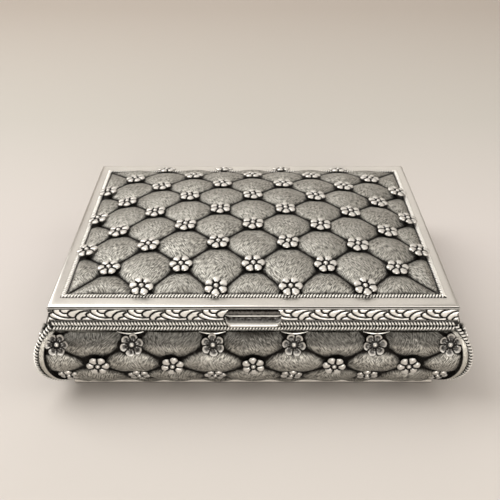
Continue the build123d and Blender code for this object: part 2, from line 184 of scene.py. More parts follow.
def loft(rings, round_trip=False):
    """Points and faces of a skin over closed rings, capped unless it comes back to its start."""
    count = len(rings)
    size = len(rings[0])
    faces = []
    for ring in range(count if round_trip else count - 1):
        here = ring * size
        following = (ring + 1) % count * size
        for place in range(size):
            ahead = (place + 1) % size
            faces.append([here + place, here + ahead, following + ahead, following + place])
    if not round_trip:
        faces.append(list(range(size)))
        faces.append([(count - 1) * size + place for place in range(size)])
    return [point for ring in rings for point in ring], faces


def set_attribute(made, name, values):
    """Number for each point of an object."""
    layer = made.data.attributes.new(name, "FLOAT", "POINT")
    layer.data.foreach_set("value", np.asarray(values, dtype=float).ravel())


def set_uv(made, across, along):
    """Flat coordinates of each point of an object, in metres."""
    layer = made.data.uv_layers.new(name="sheet")
    corners = np.empty(len(made.data.loops), dtype=int)
    made.data.loops.foreach_get("vertex_index", corners)
    flat = np.stack([np.ravel(across)[corners], np.ravel(along)[corners]], axis=-1)
    layer.data.foreach_set("uv", flat.ravel())


def smooth_share(value, low, high):
    """Smooth rise from 0 at low to 1 at high."""
    share = np.clip((value - low) / (high - low), 0, 1)
    return share * share * (3 - 2 * share)


# Node trees

def add_node(tree, kind, inputs=None, **settings):
    """Node of a tree: input values are set and input sockets are linked."""
    node = tree.nodes.new(kind)
    for key, value in settings.items():
        setattr(node, key, value)
    for key, value in (inputs or {}).items():
        if isinstance(value, bpy.types.NodeSocket):
            tree.links.new(value, node.inputs[key])
        else:
            node.inputs[key].default_value = value
    return node


def new_group(name, kind, inputs, outputs):
    """Node group with named inputs and outputs, and its two end nodes."""
    tree = bpy.data.node_groups.new(name, kind)
    for label, socket, value in inputs:
        made = tree.interface.new_socket(label, in_out="INPUT", socket_type=socket)
        if value is not None:
            made.default_value = value
    for label, socket in outputs:
        tree.interface.new_socket(label, in_out="OUTPUT", socket_type=socket)
    return tree, tree.nodes.new("NodeGroupInput"), tree.nodes.new("NodeGroupOutput")


def math(tree, operation, first, second=0.0):
    """Result of a sum on one or two numbers."""
    return add_node(tree, "ShaderNodeMath", {0: first, 1: second}, operation=operation).outputs[0]


# Copies placed by Geometry Nodes

def copy_tree(name, unevenness, seed, extra=()):
    """Tree with the inputs that all trees of copies have."""
    inputs = (
        ("Geometry", "NodeSocketGeometry", None),
        ("Copied", "NodeSocketObject", None),
        *extra,
        ("Unevenness", "NodeSocketFloat", unevenness),
        ("Seed", "NodeSocketInt", seed),
        ("Finish", "NodeSocketMaterial", None),
    )
    return new_group(name, "GeometryNodeTree", inputs, (("Geometry", "NodeSocketGeometry"),))


def point_value(tree, name, kind):
    """Attribute of the points that a tree places its copies on."""
    return add_node(tree, "GeometryNodeInputNamedAttribute", {"Name": name}, data_type=kind).outputs[0]


def place_copies(tree, points, turned, largest, start, end):
    """Places copies of uneven size as plain geometry with its material."""
    smallest = math(tree, "SUBTRACT", 1.0, start.outputs["Unevenness"])
    varied = add_node(
        tree,
        "FunctionNodeRandomValue",
        {2: smallest, 3: largest, "Seed": start.outputs["Seed"]},
        data_type="FLOAT",
    )
    source = add_node(tree, "GeometryNodeObjectInfo", {"Object": start.outputs["Copied"]})
    copies = add_node(
        tree,
        "GeometryNodeInstanceOnPoints",
        {
            "Points": points,
            "Instance": source.outputs["Geometry"],
            "Rotation": turned,
            "Scale": varied.outputs[1],
        },
    )
    plain = add_node(tree, "GeometryNodeRealizeInstances", {"Geometry": copies.outputs["Instances"]})
    finished = add_node(
        tree,
        "GeometryNodeSetMaterial",
        {"Geometry": plain.outputs["Geometry"], "Material": start.outputs["Finish"]},
    )
    tree.links.new(finished.outputs["Geometry"], end.inputs["Geometry"])


def copies_along_edges():
    """Tree: copies at even steps along edges, x along the edge and z along its out attribute."""
    step = ("Step", "NodeSocketFloat", 1.7 * mm)
    tree, start, end = copy_tree("copies_along_edges", 0.04, 3, (step,))
    curve = add_node(tree, "GeometryNodeMeshToCurve", {"Mesh": start.outputs["Geometry"]})
    stepped = add_node(
        tree,
        "GeometryNodeResampleCurve",
        {"Curve": curve.outputs["Curve"], "Length": start.outputs["Step"]},
        mode="LENGTH",
    )
    tangent = add_node(tree, "GeometryNodeInputTangent")
    turned = add_node(
        tree,
        "FunctionNodeAxesToRotation",
        {0: point_value(tree, "out", "FLOAT_VECTOR"), 1: tangent.outputs[0]},
        primary_axis="Z",
        secondary_axis="X",
    )
    largest = math(tree, "ADD", 1.0, start.outputs["Unevenness"])
    place_copies(tree, stepped.outputs["Curve"], turned.outputs[0], largest, start, end)
    return tree


def copies_on_points():
    """Tree: copies on points, z along the out attribute, each turned by its turn attribute."""
    tree, start, end = copy_tree("copies_on_points", 0.03, 5)
    upright = add_node(
        tree,
        "FunctionNodeAlignRotationToVector",
        {"Vector": point_value(tree, "out", "FLOAT_VECTOR")},
        axis="Z",
    )
    spin = add_node(
        tree,
        "FunctionNodeAxisAngleToRotation",
        {"Axis": (0, 0, 1), "Angle": point_value(tree, "turn", "FLOAT")},
    )
    turned = add_node(
        tree,
        "FunctionNodeRotateRotation",
        {"Rotation": upright.outputs[0], "Rotate By": spin.outputs[0]},
        rotation_space="LOCAL",
    )
    place_copies(tree, start.outputs["Geometry"], turned.outputs[0], 1.0, start, end)
    return tree


def scaffold(name, points, edges, attributes):
    """Bare points or edges that a tree places its copies on."""
    mesh = bpy.data.meshes.new(name)
    mesh.from_pydata([tuple(point) for point in points], edges, [])
    for label, kind, values in attributes:
        layer = mesh.attributes.new(label, kind, "POINT")
        layer.data.foreach_set("vector" if kind == "FLOAT_VECTOR" else "value", np.ravel(values))
    return link_object(name, mesh)


def run_tree(bare, tree, name, **inputs):
    """Plain object that a tree makes of a scaffold, which is then dropped."""
    modifier = bare.modifiers.new("copies", "NODES")
    modifier.node_group = tree
    for socket in tree.interface.items_tree:
        if socket.in_out == "INPUT" and socket.name.lower() in inputs:
            modifier[socket.identifier] = inputs[socket.name.lower()]
    bare.update_tag()
    graph = bpy.context.evaluated_depsgraph_get()
    mesh = bpy.data.meshes.new_from_object(bare.evaluated_get(graph))
    mesh.name = name
    bare.modifiers.clear()
    bpy.data.objects.remove(bare)
    return link_object(name, mesh)


edge_tree = copies_along_edges()
point_tree = copies_on_points()


# Materials

def stretched(tree, value, low, high):
    """Share of the way from low to high at which a value lies."""
    limits = {"Value": value, "From Min": low, "From Max": high}
    return add_node(tree, "ShaderNodeMapRange", limits, clamp=True).outputs["Result"]


def swing(tree, value, amount, middle):
    """Number that swings round a middle as a value does round a half."""
    moved = math(tree, "MULTIPLY", math(tree, "SUBTRACT", value, 0.5), amount)
    return math(tree, "ADD", moved, middle)


def noise(tree, place, scale, detail, roughness=0.5, dimensions="3D"):
    """Noise from 0 to 1 over some coordinates."""
    inputs = {"Vector": place, "Scale": scale, "Detail": detail, "Roughness": roughness}
    return add_node(tree, "ShaderNodeTexNoise", inputs, noise_dimensions=dimensions).outputs["Fac"]


def object_place(tree):
    """Coordinates of the piece that a material lies on."""
    return add_node(tree, "ShaderNodeTexCoord").outputs["Object"]


def point_share(tree, name):
    """Number that a piece holds for each of its points."""
    return add_node(tree, "ShaderNodeAttribute", attribute_name=name).outputs["Fac"]


def tone_ramp(tree, value, tones):
    """Colour that runs through tones, each at its place from 0 to 1."""
    ramp = add_node(tree, "ShaderNodeValToRGB", {"Fac": value})
    elements = ramp.color_ramp.elements
    for place, tone in tones[1:-1]:
        elements.new(place)
    for element, (place, tone) in zip(elements, tones):
        element.position = place
        element.color = tone
    return ramp.outputs["Color"]


def add_relief(tree, shader, height, strength, depth):
    """Small relief of a material."""
    relief = add_node(tree, "ShaderNodeBump", {"Height": height, "Strength": strength, "Distance": depth})
    tree.links.new(relief.outputs["Normal"], shader.inputs["Normal"])


def value_group(name, inputs):
    """Shader group that gives one value, with named inputs and their usual values."""
    sockets = [(label, "NodeSocketFloat", value) for label, value in inputs]
    return new_group(name, "ShaderNodeTree", sockets, (("Value", "NodeSocketFloat"),))


def grain_group():
    """Soft uneven tone of hand-worked metal, from 0 to 1."""
    tree, start, end = value_group("hand_worked_grain", (("Scale", 60.0), ("Contrast", 1.0)))
    cloud = noise(tree, object_place(tree), start.outputs["Scale"], 5.0, roughness=0.65)
    tree.links.new(swing(tree, cloud, start.outputs["Contrast"], 0.5), end.inputs["Value"])
    return tree


hatch_lean = 35
hatch_patch_scale = 70.0
hatch_patch_blend = (0.44, 0.56)
hatch_line_range = (0.34, 0.66)
shade_and_tarnish_range = (0.1, 0.9)


def leaning_lines(tree, flat, stretch, lean):
    """Noise drawn out into fine lines that lean by some degrees."""
    turn = {"Vector": flat, "Angle": radians(lean)}
    turned = add_node(tree, "ShaderNodeVectorRotate", turn, rotation_type="Z_AXIS").outputs[0]
    laid = add_node(tree, "ShaderNodeVectorMath", {0: turned, 1: stretch}, operation="MULTIPLY")
    return noise(tree, laid.outputs[0], 1.0, 1.0, roughness=0.6, dimensions="2D")


def hatch_group():
    """Fine chased lines over flat coordinates, leaning one way or the other from patch to patch."""
    tree, start, end = value_group("chased_hatching", (("Pitch", 0.46 * mm), ("Length", 2.4 * mm)))
    flat = add_node(tree, "ShaderNodeUVMap", uv_map="sheet").outputs["UV"]
    across = math(tree, "DIVIDE", 1.0, start.outputs["Pitch"])
    along = math(tree, "DIVIDE", 1.0, start.outputs["Length"])
    stretch = add_node(tree, "ShaderNodeCombineXYZ", {0: across, 1: along, 2: 1.0}).outputs[0]
    right = leaning_lines(tree, flat, stretch, hatch_lean)
    left = leaning_lines(tree, flat, stretch, -hatch_lean)
    patch = stretched(tree, noise(tree, flat, hatch_patch_scale, 1.0), *hatch_patch_blend)
    crossed = add_node(tree, "ShaderNodeMix", {0: patch, 2: right, 3: left}).outputs[0]
    tree.links.new(stretched(tree, crossed, *hatch_line_range), end.inputs["Value"])
    return tree


def shade_and_tarnish_group():
    """Darkness of tarnish and of painted shade, high where the points' attribute for both is high, ragged
    at its border.
    """
    tree, start, end = value_group("shade_and_tarnish_darkening", (("Raggedness", 0.5), ("Scale", 900.0)))
    shade_and_tarnish = point_share(tree, "shade_and_tarnish")
    cloud = noise(tree, object_place(tree), start.outputs["Scale"], 3.0)
    shift = math(tree, "MULTIPLY", math(tree, "SUBTRACT", cloud, 0.5), start.outputs["Raggedness"])
    ragged = math(tree, "ADD", shade_and_tarnish, math(tree, "MULTIPLY", shift, math(tree, "MINIMUM", shade_and_tarnish, 1.0)))
    tree.links.new(stretched(tree, ragged, *shade_and_tarnish_range), end.inputs["Value"])
    return tree


grain_tree = grain_group()
hatch_tree = hatch_group()
shade_and_tarnish_tree = shade_and_tarnish_group()


def group_node(tree, group, **inputs):
    """Value that a node group gives in a material."""
    node = add_node(tree, "ShaderNodeGroup", node_tree=group)
    for label, value in inputs.items():
        node.inputs[label].default_value = value
    return node.outputs["Value"]


def new_material(name):
    """Empty material with its shader and output."""
    material = bpy.data.materials.new(name)
    material.use_nodes = True
    tree = material.node_tree
    tree.nodes.clear()
    shader = tree.nodes.new("ShaderNodeBsdfPrincipled")
    add_node(tree, "ShaderNodeOutputMaterial", {"Surface": shader.outputs["BSDF"]})
    return material, tree, shader


fine_grain_scale = 2200.0
hatch_contrast = 1.32
grain_contrast = 0.4
patch_contrast = 0.35
polish_contrast = 0.25
relief_depth = 0.15 * mm


def silver(name, bright, roughness, hatched=False, grain_scale=60.0, bump=0.15, metallic=1.0):
    """Silver with uneven polish, tarnish and painted shade mixed into its colour, and chased or grained
    relief.
    """
    material, tree, shader = new_material(name)
    grain = group_node(tree, grain_tree, Scale=grain_scale, Contrast=1.0)
    shade_and_tarnish = group_node(tree, shade_and_tarnish_tree)
    fine = group_node(tree, hatch_tree) if hatched else group_node(tree, grain_tree, Scale=fine_grain_scale)
    tone = swing(tree, fine, hatch_contrast if hatched else grain_contrast, 1.0)
    level = math(tree, "MULTIPLY", tone, swing(tree, grain, patch_contrast, 1.0))
    if hatched:
        missing = math(tree, "SUBTRACT", polished_gain, level)
        level = math(tree, "ADD", level, math(tree, "MULTIPLY", missing, point_share(tree, "polish")))
    scaled = add_node(tree, "ShaderNodeVectorMath", {0: bright, "Scale": level}, operation="SCALE")
    blend = {0: shade_and_tarnish, 6: scaled.outputs[0], 7: shade_and_tarnish_colour}
    colour = add_node(tree, "ShaderNodeMix", blend, data_type="RGBA").outputs[2]
    tree.links.new(colour, shader.inputs["Base Color"])
    tree.links.new(swing(tree, grain, polish_contrast, roughness), shader.inputs["Roughness"])
    shader.inputs["Metallic"].default_value = metallic
    add_relief(tree, shader, fine, bump, relief_depth)
    return material


quilt_silver = silver("hatched_silver", (0.345, 0.335, 0.305), 0.50, hatched=True, bump=1.0)
rosette_silver = silver("rosette_silver", (0.69, 0.67, 0.63), 0.36, grain_scale=400.0, metallic=0.75)
rope_silver = silver("rope_silver", (0.93, 0.91, 0.86), 0.36, grain_scale=300.0, metallic=0.7)
leaf_silver = silver("engraved_silver", (0.86, 0.84, 0.80), 0.40, grain_scale=300.0, metallic=0.7)
plain_silver = silver("plain_silver", (0.71, 0.69, 0.65), 0.35, grain_scale=25.0)
base_silver = silver("base_silver", (0.58, 0.54, 0.48), 0.45, metallic=0.0)
# nearly black silver of the rope cores, which show only in the gaps between the strands: tarnish and
# painted shade
gap_shade_and_tarnish = silver("gap_shade_and_tarnish_silver", (0.030, 0.028, 0.026), 0.45)


velvet_tones = ((0.0, (0.045, 0.004, 0.006, 1)), (1.0, (0.16, 0.012, 0.02, 1)))


def velvet():
    """Deep red cloth lining with a soft pile."""
    material, tree, shader = new_material("lining_velvet")
    pile = group_node(tree, grain_tree, Scale=900.0)
    tree.links.new(tone_ramp(tree, pile, velvet_tones), shader.inputs["Base Color"])
    shader.inputs["Roughness"].default_value = 0.9
    shader.inputs["Sheen Weight"].default_value = 0.6
    add_relief(tree, shader, pile, 0.4, 0.2 * mm)
    return material


lining_velvet = velvet()


# Quilted sheets

def distance_to_path(x, y, path):
    """Distance from each place to a path of straight runs."""
    nearest = np.full(x.shape, np.inf)
    for (start_x, start_y), (end_x, end_y) in zip(path, path[1:]):
        run_x = end_x - start_x
        run_y = end_y - start_y
        share = np.clip(((x - start_x) * run_x + (y - start_y) * run_y) / (run_x**2 + run_y**2), 0, 1)
        nearest = np.minimum(nearest, np.hypot(x - start_x - share * run_x, y - start_y - share * run_y))
    return nearest


def seam_rise(distance, reach):
    """Share of a pillow's height at a distance from one of its seams."""
    return 1 - (1 - np.clip(distance / reach, 0, 1)) ** pillow_power


def dark_line(distance, half):
    """Darkness at a distance from the middle of a line."""
    return np.exp(-((distance / half) ** 2))


def quilt_relief(x, y, seams, knots, reach, seam_half):
    """Share of the pillow height at each place, and its darkness: tarnish along the seams, with painted
    shade beside them, where they widen near the rosettes and round each rosette.
    """
    lift = np.ones(x.shape)
    seam_distance = np.full(x.shape, np.inf)
    for path in seams:
        distance = distance_to_path(x, y, path)
        lift *= seam_rise(distance, reach)
        seam_distance = np.minimum(seam_distance, distance)
    knot_distance = np.full(x.shape, np.inf)
    for knot_x, knot_y in knots:
        knot_distance = np.minimum(knot_distance, np.hypot(x - knot_x, y - knot_y))
    lift *= smooth_share(knot_distance, dip_inner, dip_outer) * dip_depth + 1 - dip_depth
    beyond = knot_distance - rosette_radius
    # tarnish along the seams, widened near the rosettes as painted shade
    seam = dark_line(seam_distance, seam_half + knot_shade_widening * dark_line(beyond, knot_spread))
    # painted shade on the pillow beside each seam
    seam_side_shade = hollow_shade * np.exp(-seam_distance / hollow_reach)
    # painted shadow in a ring round each rosette
    rosette_shadow = dark_line(np.maximum(beyond, 0), knot_shadow)
    return lift, np.maximum(np.maximum(seam, seam_side_shade), rosette_shadow)


def dome_z(x, y):
    """Height of the lid's seams."""
    across = np.abs(x / panel_half_length)
    along = np.minimum(np.abs(y / panel_half_width), 1)
    return lid_top_z + dome_height * (1 - across**dome_power) * (1 - along**dome_power)


def lid_place(i, j):
    """Flat place of lattice point i, j of the lid, whose front row is a little longer."""
    x = (i / lid_cells[0] - 1) * panel_half_length
    y = (j / lid_cells[1] - 1) * panel_half_width - front_row_extra * max(0, 1 - j)
    return x, y


def lid_seams():
    """Seams of the lid, each drawn through all the cells it passes."""
    last = 2 * lid_cells[1]
    paths = []
    for start in range(-last, 2 * lid_cells[0] + last + 1, 2):
        for lean in (-1, 1):
            paths.append([lid_place(start + lean * j, j) for j in (0, 1, last)])
    return paths


def lid_lattice():
    """Lattice points i, j of the lid where the seams cross, without its corners."""
    last_i = 2 * lid_cells[0]
    last_j = 2 * lid_cells[1]
    return [
        (i, j)
        for i in range(last_i + 1)
        for j in range(last_j + 1)
        if (i + j) % 2 == 0 and not (i in (0, last_i) and j in (0, last_j))
    ]


def lid_quilt():
    """Quilted sheet of the lid, with a flat underside."""
    front_y = -panel_half_width - front_row_extra
    columns = int(2 * panel_half_length / grid_step)
    rows = int((panel_half_width - front_y) / grid_step)
    x, y = np.meshgrid(
        np.linspace(-panel_half_length, panel_half_length, columns),
        np.linspace(front_y, panel_half_width, rows),
    )
    knots = [lid_place(i, j) for i, j in lid_lattice()]
    share, shade_and_tarnish = quilt_relief(x, y, lid_seams(), knots, pillow_reach, lid_seam_half)
    for inside in (panel_half_length - np.abs(x), panel_half_width - y, y - front_y):
        share = share * seam_rise(inside, border_reach)
        shade_and_tarnish = np.maximum(shade_and_tarnish, dark_line(inside, lid_border_half))
    z = dome_z(x, y) + lid_crown * share
    faces = grid_faces(rows, columns) + [grid_edge(rows, columns)[::-1].tolist()]
    made = mesh_object("lid_quilt", np.stack([x, y, z], axis=-1), faces)
    set_attribute(made, "shade_and_tarnish", shade_and_tarnish)
    set_uv(made, x, y)
    return made


def arc_angle(z, radius):
    """Angle above level at which an arc of the wall reaches a height."""
    return asin((z - arc_z) / radius)


rim_angle = arc_angle(rim_z, arc_radius)
foot_angle = arc_angle(foot_z, arc_radius)
arc_length = arc_radius * (rim_angle - foot_angle)
row_lengths = [place * arc_length for place in row_places]


raise_start = -5 * mm
raise_end = 7 * mm
raise_foot = 15 * mm


def corner_raise(s):
    """How far the plain strips beside the corners stand out of the seams, down the wall."""
    rising = smooth_share(s, raise_start, raise_end)
    return strip_raise * rising * smooth_share(arc_length - s, 0, raise_foot)


def flat_half_length(run):
    """Half length of a wall's quilting at the belly."""
    return run + belly_out - corner_slot - corner_strip


def wall_seams(cells, flat_half):
    """Seams of a wall as paths from the rim to the foot, in flat coordinates."""
    step = flat_half / cells
    paths = []
    for knot in range(-4, 2 * cells + 5, 2):
        for lean in (-1, 1):
            path = [((knot - cells) * step - lean * rim_seam_spread, row_lengths[0])]
            for row in range(1, len(row_lengths)):
                path.append((wall_x(knot + lean * (row - 1), row, cells, step), row_lengths[row]))
            paths.append(path)
    return paths


belly_row = 2
belly_end_shift = 3 * mm


def wall_x(i, row, cells, step):
    """Flat place along a wall of lattice point i; beside the corners the belly row stands further in."""
    moved = belly_end_shift if row == belly_row and i in (1, 2 * cells - 1) else 0
    return (i - cells) * step + (moved if i < cells else -moved)


def wall_knots(cells, flat_half):
    """Flat places of a wall's rosettes with their rows."""
    step = flat_half / cells
    knots = []
    for row in range(1, len(row_lengths) - 1):
        for i in range((row + 1) % 2, 2 * cells + 1, 2):
            knots.append((wall_x(i, row, cells, step), row_lengths[row], row))
    return knots


def wall_relief(x, s, cells, flat_half):
    """Share of the pillow height, darkness (tarnish with painted shade) and distance inside the end seams
    of a wall.
    """
    knots = [(knot_x, knot_s) for knot_x, knot_s, row in wall_knots(cells, flat_half)]
    seams = wall_seams(cells, flat_half)
    share, shade_and_tarnish = quilt_relief(x, s, seams, knots, wall_pillow_reach, wall_seam_half)
    share = share * seam_rise(s + rim_tuck, rim_reach) * seam_rise(arc_length - s, border_reach)
    inside = flat_half - np.abs(x)
    # painted shade under the rim, fading out down the wall
    rim_painted_shade = rim_shade * (1 - smooth_share(s, *rim_shade_fade))
    shade_and_tarnish = np.maximum(np.maximum(shade_and_tarnish, rim_painted_shade), dark_line(inside, wall_end_half))
    strip_dark = np.where(inside > -strip_line, 1.0, strip_tarnish)
    return share, np.where(inside < 0, strip_dark, shade_and_tarnish), inside


def wall_face_points(x, s, share, inside, flat_half, run, reach):
    """Places of a front wall's outer face."""
    plain = inside < 0
    angle = rim_angle - s / arc_radius
    lean = angle * np.minimum(s / row_lengths[1], 1)
    raised = corner_raise(s)
    near = seam_rise(np.maximum(inside, 0), border_reach)
    lift = np.where(plain, raised, near * wall_crown * share + (1 - near) * strip_blend * raised)
    out = arc_out + arc_radius * np.cos(angle)
    half = run + out + raised * np.cos(angle) - corner_slot - corner_strip
    spread_x = np.where(plain, np.sign(x) * (half + np.abs(x) - flat_half), x / flat_half * half)
    y = -(reach + out + lift * np.cos(lean))
    z = arc_z + arc_radius * np.sin(angle) + lift * np.sin(lean)
    return np.stack([spread_x, y, z], axis=-1).reshape(-1, 3)


def wall_back_points(rows, run, reach):
    """Places down both ends of a front wall's inner face."""
    radius = arc_radius - sheet_thickness
    high = arc_angle(rim_z, radius)
    low = arc_angle(foot_z, radius)
    points = []
    for share_down in np.linspace(0, 1, rows):
        angle = high + (low - high) * share_down
        out = arc_out + radius * cos(angle)
        z = arc_z + radius * sin(angle)
        raised = float(corner_raise(arc_length * share_down)) * cos(angle)
        half = run + out + raised - corner_slot
        points += [(-half, -(reach + out), z), (half, -(reach + out), z)]
    return np.array(points)


def wall_faces(rows, columns):
    """Faces of a wall's outer grid, its plain inner face and the edges between them."""
    size = rows * columns
    faces = grid_faces(rows, columns)
    for row in range(rows - 1):
        back = size + 2 * row
        start = row * columns
        end = start + columns - 1
        faces.append([back, back + 2, back + 3, back + 1])
        faces.append([start, start + columns, back + 2, back])
        faces.append([end, back + 1, back + 3, end + columns])
    foot = size + 2 * rows - 2
    faces.append(list(range(columns)) + [size + 1, size])
    faces.append(list(range(size - columns, size))[::-1] + [foot, foot + 1])
    return faces


def turned_into_place(made, turn):
    """Piece made for the front, turned about the box by some degrees."""
    made.data.transform(Matrix.Rotation(radians(turn), 4, "Z"))
    return made


def wall_quilt(name, cells, run, reach, turn):
    """Quilted sheet of a wall, made as a front wall and turned into place."""
    flat_half = flat_half_length(run)
    columns = int(2 * (flat_half + corner_strip) / grid_step)
    rows = int(arc_length / grid_step)
    x, s = np.meshgrid(
        np.linspace(-flat_half - corner_strip, flat_half + corner_strip, columns),
        np.linspace(0, arc_length, rows),
    )
    share, shade_and_tarnish, inside = wall_relief(x, s, cells, flat_half)
    front = wall_face_points(x, s, share, inside, flat_half, run, reach)
    points = np.concatenate([front, wall_back_points(rows, run, reach)])
    made = mesh_object(name, points, wall_faces(rows, columns))
    back = np.zeros(2 * rows)
    set_attribute(made, "polish", np.append((inside < 0).ravel(), back + 1))
    set_attribute(made, "shade_and_tarnish", np.append(shade_and_tarnish.ravel(), back))
    set_uv(made, np.append(x.ravel(), back), np.append(s.ravel(), back))
    return turned_into_place(made, turn)


# Rosettes

petal_count = 6
petal_sector = 2 * pi / petal_count
petal_centre = 3.75 * mm
petal_radius = 2.2 * mm
petal_start = 2.1 * mm
petal_sink = 0.35 * mm
petal_dome = 0.8 * mm
petal_cup = 0.85 * mm
cup_floor = 0.3 * mm
petal_groove = 0.7 * mm
groove_half = 0.75 * mm
groove_dark = (0.35 * mm, 0.75 * mm)
cup_dark = (0.5, 0.8)
ring_dark_width = 0.4 * mm
bead_radius = 1.25 * mm
bead_rise = 1.0 * mm
bead_bulge = 0.85
bead_gap = 1.12
petal_undercut = 0.97
ring_depth = 0.3 * mm
petal_edge_drop = 0.75 * mm
bowl_radius = 3.2 * mm
bowl_drop = 1.2 * mm
tip_radius = 0.5 * mm
tip_height = 0.4 * mm
petal_turns = (-30, -27, -22, -14, -7, 0, 7, 14, 22, 27)
bead_shares = (0.12, 0.4, 0.65, 0.85, 1.0)
petal_shares = (0.0, 0.14, 0.3, 0.48, 0.66, 0.82, 0.93, 1.0)


def nearest_petal(angle):
    """Angle from the middle of the nearest petal."""
    return (angle + petal_sector / 2) % petal_sector - petal_sector / 2


def outline_radius(angle):
    """Reach of the petals in a direction from the middle of the nearest petal."""
    return petal_centre * cos(angle) + (petal_radius**2 - (petal_centre * sin(angle)) ** 2) ** 0.5


def petal_place(radius, angle):
    """Share of the petal's radius away from its middle, and the distance to its neighbour."""
    away = hypot(radius * cos(angle) - petal_centre, radius * sin(angle)) / petal_radius
    return away, (petal_sector / 2 - abs(angle)) * radius


def petal_height(radius, angle, cupped):
    """Height of a petal above its foot, domed or cupped."""
    away, beside = petal_place(radius, angle)
    groove = petal_groove * max(0, 1 - beside / groove_half)
    if cupped:
        return cup_floor + petal_cup * min(away, 1) ** 2.5 - groove
    return petal_dome * max(0, 1 - away**4) ** 0.5 - groove


def petal_darkness(radius, angle, cupped):
    """Darkness between the petals, in their cups and round the bead."""
    away, beside = petal_place(radius, angle)
    cup = 0.85 * (1 - smooth_share(away, *cup_dark)) if cupped else 0
    ring = 1 - smooth_share(radius - petal_start, 0, ring_dark_width)
    return max(1 - smooth_share(beside, *groove_dark), cup, ring)


def rosette_section(angle, rim_height, cupped):
    """Radius, height and darkness of a rosette in one direction, from its bead to its tip."""
    outline = outline_radius(angle)
    section = []
    for share in bead_shares:
        sag = bead_radius * bead_bulge * (1 - (1 - share**2) ** 0.5)
        section.append((bead_radius * share, rim_height + bead_rise - sag, 0.7 * share**6))
    for radius in (bead_radius * bead_gap, petal_start * petal_undercut):
        section.append((radius, rim_height - ring_depth, 1.0))
    for share in petal_shares:
        radius = petal_start + (outline - petal_start) * share
        height = rim_height - petal_sink + petal_height(radius, angle, cupped)
        section.append((radius, height, petal_darkness(radius, angle, cupped)))
    # painted shade on the undercut petal edge and down the bowl to the tip
    section.append((outline * petal_undercut, rim_height - petal_edge_drop, 0.9))
    section.append((bowl_radius, rim_height - bowl_drop, 1.0))
    section.append((tip_radius, tip_height, 1.0))
    return section


def rosette_object(name, rim_height, cupped, size=1.0):
    """One flower of six petals round a bead, standing on its tip."""
    angles = [radians(60 * petal + turn) for petal in range(petal_count) for turn in petal_turns]
    sections = [rosette_section(nearest_petal(angle), rim_height, cupped) for angle in angles]
    rings = []
    shade_and_tarnish = []
    for ring in zip(*sections):
        places = zip(angles, ring)
        rings.append([(r * cos(angle), r * sin(angle), z) for angle, (r, z, dark) in places])
        shade_and_tarnish += [dark for r, z, dark in ring]
    made = mesh_object(name, *loft(rings))
    made.data.transform(Matrix.Scale(size, 4))
    set_attribute(made, "shade_and_tarnish", shade_and_tarnish)
    made.hide_render = True
    return made


lid_flower = rosette_object("lid_flower", 2.2 * mm, cupped=False)
edge_flower = rosette_object("edge_flower", 3.3 * mm, cupped=False)
cup_flower = rosette_object("cup_flower", 2.6 * mm, cupped=True, size=0.95)
wall_flower = rosette_object("wall_flower", 2.5 * mm, cupped=False, size=0.95)
turn_step = radians(137.5)


def rosette_points(name, places, flower):
    """Rosettes on places, each a point with its outward direction."""
    points = [place for place, out in places]
    outs = [tuple(out) for place, out in places]
    turns = [turn_step * count for count in range(len(places))]
    attributes = [("out", "FLOAT_VECTOR", outs), ("turn", "FLOAT", turns)]
    bare = scaffold(name + "_places", points, [], attributes)
    return run_tree(bare, point_tree, name, copied=flower, finish=rosette_silver)


rosette_inset = 4.2 * mm
front_rosette_inset = 3.7 * mm
wall_rosette_inset = 5.4 * mm
low_row = 3
low_row_sink = 1.7 * mm


def dome_normal(x, y):
    """Direction straight out of the lid's seams."""
    step = 0.01 * mm
    z = float(dome_z(x, y))
    slope_x = (float(dome_z(x + step, y)) - z) / step
    slope_y = (float(dome_z(x, y + step)) - z) / step
    return Vector((-slope_x, -slope_y, 1)).normalized()


def lid_rosette_places(edge):
    """Places and directions of the lid's rosettes, on its border or inside it."""
    x_limit = panel_half_length - rosette_inset
    low_y = -panel_half_width - front_row_extra + front_rosette_inset
    high_y = panel_half_width - rosette_inset
    places = []
    for i, j in lid_lattice():
        if (i in (0, 2 * lid_cells[0]) or j in (0, 2 * lid_cells[1])) != edge:
            continue
        x, y = lid_place(i, j)
        x = float(np.clip(x, -x_limit, x_limit))
        y = float(np.clip(y, low_y, high_y))
        places.append(((x, y, float(dome_z(x, y))), dome_normal(x, y)))
    return places


def wall_rosette_places(rows, cells, run, reach, turn):
    """Places and directions of a wall's rosettes in some rows; the lowest row is sunk into the sheet."""
    flat_half = flat_half_length(run)
    turned = Matrix.Rotation(radians(turn), 4, "Z")
    places = []
    for knot_x, knot_s, row in wall_knots(cells, flat_half):
        if row not in rows:
            continue
        angle = rim_angle - knot_s / arc_radius
        out = arc_out + arc_radius * cos(angle)
        half = run + out - corner_slot - corner_strip
        limit = run + out - corner_slot - wall_rosette_inset
        x = max(-limit, min(limit, knot_x / flat_half * half))
        normal = Vector((0, -cos(angle), sin(angle)))
        place = Vector((x, -(reach + out), arc_z + arc_radius * sin(angle)))
        if row == low_row:
            place -= normal * low_row_sink
        places.append((turned @ place, turned.to_3x3() @ normal))
    return places


# Thin crescents between the rim and the top row of rosettes

crescent_half = 6.3 * mm
crescent_thickness = 0.36 * mm
crescent_start = 0.1 * mm
crescent_sag = 0.9 * mm
crescent_stand = 1.5 * mm
crescent_fall = 0.6 * mm
crescent_taper = 0.75


